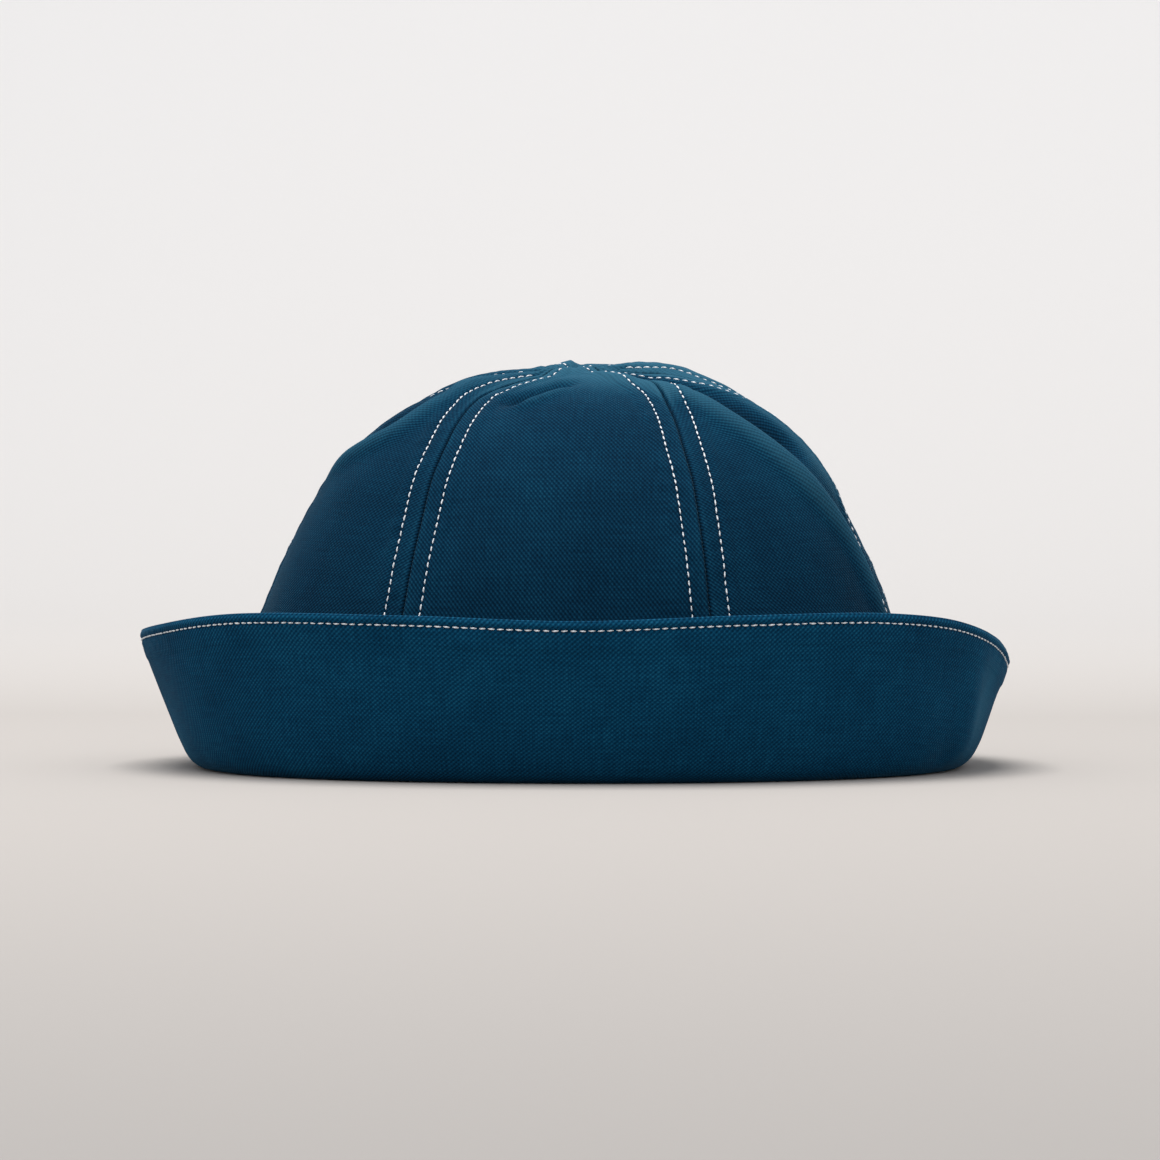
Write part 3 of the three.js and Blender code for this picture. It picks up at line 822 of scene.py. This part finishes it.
def stitch_tree(material):
    """Geometry Nodes: a stitch at each pitch along the rows, laid along its row and facing outwards."""
    tree = bpy.data.node_groups.new("stitches_along_rows", "GeometryNodeTree")
    add = tree.interface.new_socket
    add("Rows", in_out="INPUT", socket_type="NodeSocketGeometry")
    inputs = {
        name: add(name, in_out="INPUT", socket_type="NodeSocketFloat").identifier
        for name in ("Pitch", "Stitch length", "Thread width")
    }
    inputs["Seed"] = add("Seed", in_out="INPUT", socket_type="NodeSocketInt").identifier
    add("Stitches", in_out="OUTPUT", socket_type="NodeSocketGeometry")
    start = tree.nodes.new("NodeGroupInput").outputs

    def node(kind, values=None, **settings):
        made = tree.nodes.new(kind)
        for name, setting in settings.items():
            setattr(made, name, setting)
        for name, value in (values or {}).items():
            if isinstance(value, bpy.types.NodeSocket):
                tree.links.new(value, made.inputs[name])
            else:
                made.inputs[name].default_value = value
        return made.outputs

    def vary(low, high, add_to_seed):
        seed = node("ShaderNodeMath", {0: start["Seed"], 1: float(add_to_seed)})[0]
        made = node("FunctionNodeRandomValue", {2: low, 3: high, "Seed": seed}, data_type="FLOAT")
        return next(o for o in made if o.enabled)

    def half(value):
        return node("ShaderNodeMath", {0: value, 1: 0.5}, operation="MULTIPLY")[0]

    # One stitch: a long bead whose ends bend down into the cloth.
    bead = node("GeometryNodeMeshUVSphere", {"Segments": 8, "Rings": 8, "Radius": 1.0})
    bead_uv = node("GeometryNodeStoreNamedAttribute", {
        "Geometry": bead["Mesh"],
        "Name": "ply",
        "Value": bead["UV Map"],
    }, data_type="FLOAT2", domain="CORNER")[0]
    spot = node("ShaderNodeSeparateXYZ", {0: node("GeometryNodeInputPosition")[0]})
    end = node("ShaderNodeMath", {0: spot["Z"], 1: 2.0}, operation="POWER")[0]
    sink = node("ShaderNodeMath", {0: end, 1: 0.75, 2: 0.0}, operation="MULTIPLY_ADD")[0]
    lift = node("ShaderNodeMath", {0: spot["X"], 1: sink}, operation="SUBTRACT")[0]
    width = half(start["Thread width"])
    sized = node("ShaderNodeCombineXYZ", {
        "X": node("ShaderNodeMath", {0: spot["Z"], 1: half(start["Stitch length"])}, operation="MULTIPLY")[0],
        "Y": node("ShaderNodeMath", {0: spot["Y"], 1: width}, operation="MULTIPLY")[0],
        "Z": node("ShaderNodeMath", {0: lift, 1: width}, operation="MULTIPLY")[0],
    })[0]
    stitch = node("GeometryNodeSetPosition", {"Geometry": bead_uv, "Position": sized})[0]
    stitch = node("GeometryNodeSetShadeSmooth", {"Geometry": stitch})[0]

    rows = node("GeometryNodeMeshToCurve", {"Mesh": start["Rows"]})[0]
    spaced = node("GeometryNodeResampleCurve", {"Curve": rows, "Length": start["Pitch"]}, mode="LENGTH")[0]
    out = node("GeometryNodeInputNamedAttribute", {"Name": "out"}, data_type="FLOAT_VECTOR")[0]
    aligned = node("FunctionNodeAxesToRotation", {
        "Primary Axis": node("GeometryNodeInputTangent")[0],
        "Secondary Axis": out,
    }, primary_axis="X", secondary_axis="Z")[0]
    kept = node("GeometryNodeStoreNamedAttribute", {"Geometry": spaced, "Name": "lie", "Value": aligned},
                data_type="QUATERNION", domain="POINT")[0]
    points = node("GeometryNodeCurveToPoints", {"Curve": kept}, mode="EVALUATED")
    lie = node("GeometryNodeInputNamedAttribute", {"Name": "lie"}, data_type="QUATERNION")[0]
    skew = node("ShaderNodeCombineXYZ", {
        "X": vary(-0.2, 0.2, 1),
        "Y": vary(-0.06, 0.06, 2),
        "Z": vary(-0.10, 0.10, 3),
    })
    turned = node("FunctionNodeRotateRotation", {
        "Rotation": lie,
        "Rotate By": node("FunctionNodeEulerToRotation", {0: skew[0]})[0],
    }, rotation_space="LOCAL")[0]
    size = node("ShaderNodeCombineXYZ", {
        "X": vary(0.88, 1.08, 4),
        "Y": vary(0.85, 1.15, 5),
        "Z": vary(0.85, 1.15, 6),
    })
    placed = node("GeometryNodeInstanceOnPoints", {
        "Points": points[0], "Instance": stitch, "Rotation": turned, "Scale": size[0],
    })[0]
    real = node("GeometryNodeRealizeInstances", {0: placed})[0]
    coloured = node("GeometryNodeSetMaterial", {"Geometry": real, "Material": material})[0]
    tree.links.new(coloured, tree.nodes.new("NodeGroupOutput").inputs[0])
    return tree, inputs


white_thread = thread()
stitches, stitch_inputs = stitch_tree(white_thread)


def stitched(name, rows, seed, closed=False):
    """Rows of stitches from lines of points, each with its outward directions."""
    line_mesh = bpy.data.meshes.new(name)
    corners = np.concatenate([points for points, _ in rows])
    edges, first = [], 0
    for points, _ in rows:
        count = len(points)
        edges += [(first + i, first + i + 1) for i in range(count - 1)]
        edges += [(first + count - 1, first)] if closed else []
        first += count
    line_mesh.from_pydata((corners + CAP_SHIFT) * MM, edges, [])
    out = line_mesh.attributes.new("out", "FLOAT_VECTOR", "POINT")
    out.data.foreach_set("vector", np.concatenate([o for _, o in rows]).astype(np.float32).ravel())
    draft = bpy.data.objects.new(name + "_draft", line_mesh)
    bpy.context.scene.collection.objects.link(draft)
    sewing = draft.modifiers.new("stitches", "NODES")
    sewing.node_group = stitches
    sewing[stitch_inputs["Pitch"]] = STITCH_PITCH * MM
    sewing[stitch_inputs["Stitch length"]] = STITCH_LENGTH * MM
    sewing[stitch_inputs["Thread width"]] = THREAD_WIDTH * MM
    sewing[stitch_inputs["Seed"]] = seed
    bpy.context.view_layer.update()
    shaped = bpy.data.meshes.new_from_object(draft.evaluated_get(bpy.context.evaluated_depsgraph_get()))
    bpy.data.objects.remove(draft)
    bpy.data.meshes.remove(line_mesh)
    shaped.name = name
    shaped.materials.clear()
    shaped.materials.append(white_thread)
    piece = bpy.data.objects.new(name, shaped)
    bpy.context.scene.collection.objects.link(piece)
    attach(piece, "root")


def seam_row(grid, surface, outward, side, lift, last):
    """The line of one row of topstitching, on one face of a gore."""
    points, directions = [], []
    for i in range(len(surface)):
        if grid.half[i, 0] < last:
            break
        point, out = beside_seam(grid, surface, i, side, row_distance(grid.half[i, :1]))
        points.append(point[0] + out[0] * outward * lift)
        directions.append(out[0] * outward)
    return np.array(points), np.array(directions)


for number, (name, grid) in enumerate(grids.items()):
    # The rows of the front gore run up to the point, and the others end short of it.
    last = 2.0 if name == "crown_front" else 4.2
    outside = [seam_row(grid, grid.outer, 1, side, 0.08, last) for side in (0, 1)]
    inside = [seam_row(grid, grid.inner, -1, side, 0.70, 6.0) for side in (0, 1)]
    stitched("topstitching_" + name, outside, 100 + number)
    stitched("inside_stitching_" + name, inside, 200 + number)


def brim_row(surface, distance, rows, outward, lift):
    """A closed line round the brim, at one distance below its edge."""
    j = int(np.searchsorted(rows, distance))
    t = (distance - rows[j - 1]) / (rows[j] - rows[j - 1])
    points = surface[j - 1] * (1 - t) + surface[j] * t
    along = np.roll(points, -1, 0) - np.roll(points, 1, 0)
    down = surface[j] - surface[j - 1]
    direction = unit(np.cross(down, along)) * outward
    return points + direction * lift, direction


stitched("edge_stitching", [brim_row(brim_outer_face, EDGE_ROW, outer_rows, 1, 0.14)], 300, closed=True)
stitched("facing_stitching", [brim_row(far, EDGE_ROW, facing_rows, -1, 0.10)], 301, closed=True)
